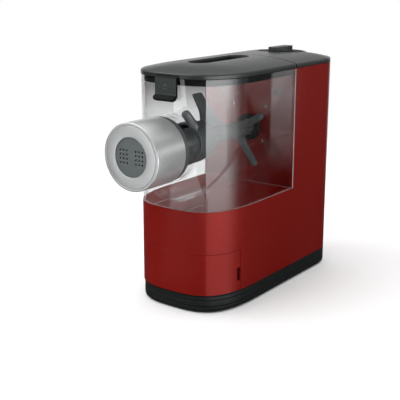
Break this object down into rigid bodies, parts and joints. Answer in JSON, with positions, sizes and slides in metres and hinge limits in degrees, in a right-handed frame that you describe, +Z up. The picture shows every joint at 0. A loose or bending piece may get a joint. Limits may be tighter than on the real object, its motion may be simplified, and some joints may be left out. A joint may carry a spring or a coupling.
{
  "type": "electric pasta maker",
  "caption": "Narrow countertop pasta maker: red body with a clear mixing chamber, a mixing paddle and screw, a die ring in front, a domed lid, a knob on top and a drawer below.",
  "frame": {"origin": "on the table, under the middle of the machine's box", "axes": "+Z up, -Y towards the die ring where the pasta comes out, +X to the right seen from the front"},
  "size_m": [0.135, 0.3432, 0.2877],
  "materials": {
    "red_paint": "satin metallic red",
    "charcoal_plastic": "fine satin",
    "black_plastic": "satin",
    "silver_plastic": "satin silver",
    "clear_plastic": "clear, lightly tinted",
    "grey_plastic": "satin",
    "rubber": "matte",
    "steel": "machined",
    "gear_nylon": "moulded",
    "circuit_board": "lacquered"
  },
  "bodies": {
    "housing": {"base_tray": "charcoal_plastic", "foot_front_left": "rubber", "foot_front_right": "rubber", "foot_rear_left": "rubber", "foot_rear_right": "rubber", "housing_shell": "red_paint", "cord_inlet_bush": "black_plastic", "drawer_guide": "charcoal_plastic", "rear_cover": "charcoal_plastic", "circuit_board": "circuit_board", "mode_switch": "black_plastic", "relay": "black_plastic", "capacitor": "silver_plastic", "cable_connector": "gear_nylon", "safety_switch_left": "black_plastic", "safety_switch_right": "black_plastic", "gearbox_front_plate": "charcoal_plastic", "gearbox_rear_plate": "charcoal_plastic", "plate_screw_upper_left": "steel", "plate_screw_upper_right": "steel", "plate_screw_lower_left": "steel", "plate_screw_lower_right": "steel", "lower_idler_axle": "steel", "upper_idler_axle": "steel", "front_bearing": "steel", "rear_bearing": "steel", "shaft_seal": "rubber", "motor": "steel", "motor_cradle": "charcoal_plastic"},
    "drawer": {"drawer_front": "red_paint", "drawer_tray": "charcoal_plastic", "lasagne_disc": "grey_plastic", "penne_disc": "grey_plastic"},
    "chamber": {"mixing_chamber": "clear_plastic", "extrusion_tube": "charcoal_plastic", "spaghetti_disc": "grey_plastic"},
    "lid": {"lid": "charcoal_plastic", "lid_gasket": "rubber", "pour_insert": "black_plastic"},
    "latch": {"lid_latch": "black_plastic"},
    "ring": {"fixing_ring": "silver_plastic"},
    "mixer": {"mixing_paddle": "grey_plastic", "auger_screw": "grey_plastic"},
    "knob": {"control_knob": "black_plastic"},
    "drive": {"drive_gear": "gear_nylon", "drive_shaft": "steel", "drive_coupling": "grey_plastic"},
    "upper_idler": {"upper_idler_gear": "gear_nylon"},
    "lower_idler": {"lower_idler_gear": "gear_nylon"},
    "rotor": {"motor_pinion": "steel", "motor_shaft": "steel", "cooling_fan": "black_plastic"}
  },
  "joints": [
    {"name": "drawer_slide", "type": "slide", "parent": "housing", "child": "drawer", "axis": [0, -1, 0], "range_m": [0, 0.1]},
    {"name": "chamber_slide", "type": "slide", "parent": "housing", "child": "chamber", "axis": [0, -1, 0], "range_m": [0, 0.05]},
    {"name": "lid_lift", "type": "slide", "parent": "chamber", "child": "lid", "axis": [0, 0, 1], "range_m": [0, 0.1]},
    {"name": "latch_turn", "type": "hinge", "parent": "lid", "child": "latch", "pos_m": [0, -0.1076, 0.2717], "axis": [-1, 0, 0], "range_deg": [0, 35]},
    {"name": "ring_turn", "type": "hinge", "parent": "chamber", "child": "ring", "pos_m": [0, -0.1716, 0.192], "axis": [0, -1, 0], "range_deg": [0, 360]},
    {"name": "mixer_spin", "type": "hinge", "parent": "chamber", "child": "mixer", "pos_m": [0, 0.0492, 0.192], "axis": [0, 1, 0], "continuous": true},
    {"name": "knob_turn", "type": "hinge", "parent": "housing", "child": "knob", "pos_m": [0, 0.129, 0.2803], "axis": [0, 0, 1], "range_deg": [-60, 60]},
    {"name": "drive_spin", "type": "hinge", "parent": "housing", "child": "drive", "pos_m": [0, 0.0627, 0.192], "axis": [0, 1, 0], "continuous": true},
    {"name": "upper_idler_spin", "type": "hinge", "parent": "housing", "child": "upper_idler", "pos_m": [0, 0.0697, 0.1502], "axis": [0, 1, 0], "continuous": true},
    {"name": "lower_idler_spin", "type": "hinge", "parent": "housing", "child": "lower_idler", "pos_m": [0, 0.0767, 0.1166], "axis": [0, 1, 0], "continuous": true},
    {"name": "rotor_spin", "type": "hinge", "parent": "housing", "child": "rotor", "pos_m": [0, 0.1471, 0.08785], "axis": [0, 1, 0], "continuous": true}
  ],
  "couplings": [
    {"joint": "drive_spin", "follows": "rotor_spin", "ratio": -0.031002},
    {"joint": "mixer_spin", "follows": "rotor_spin", "ratio": -0.031002},
    {"joint": "upper_idler_spin", "follows": "rotor_spin", "ratio": 0.086806},
    {"joint": "lower_idler_spin", "follows": "rotor_spin", "ratio": -0.27778}
  ]
}
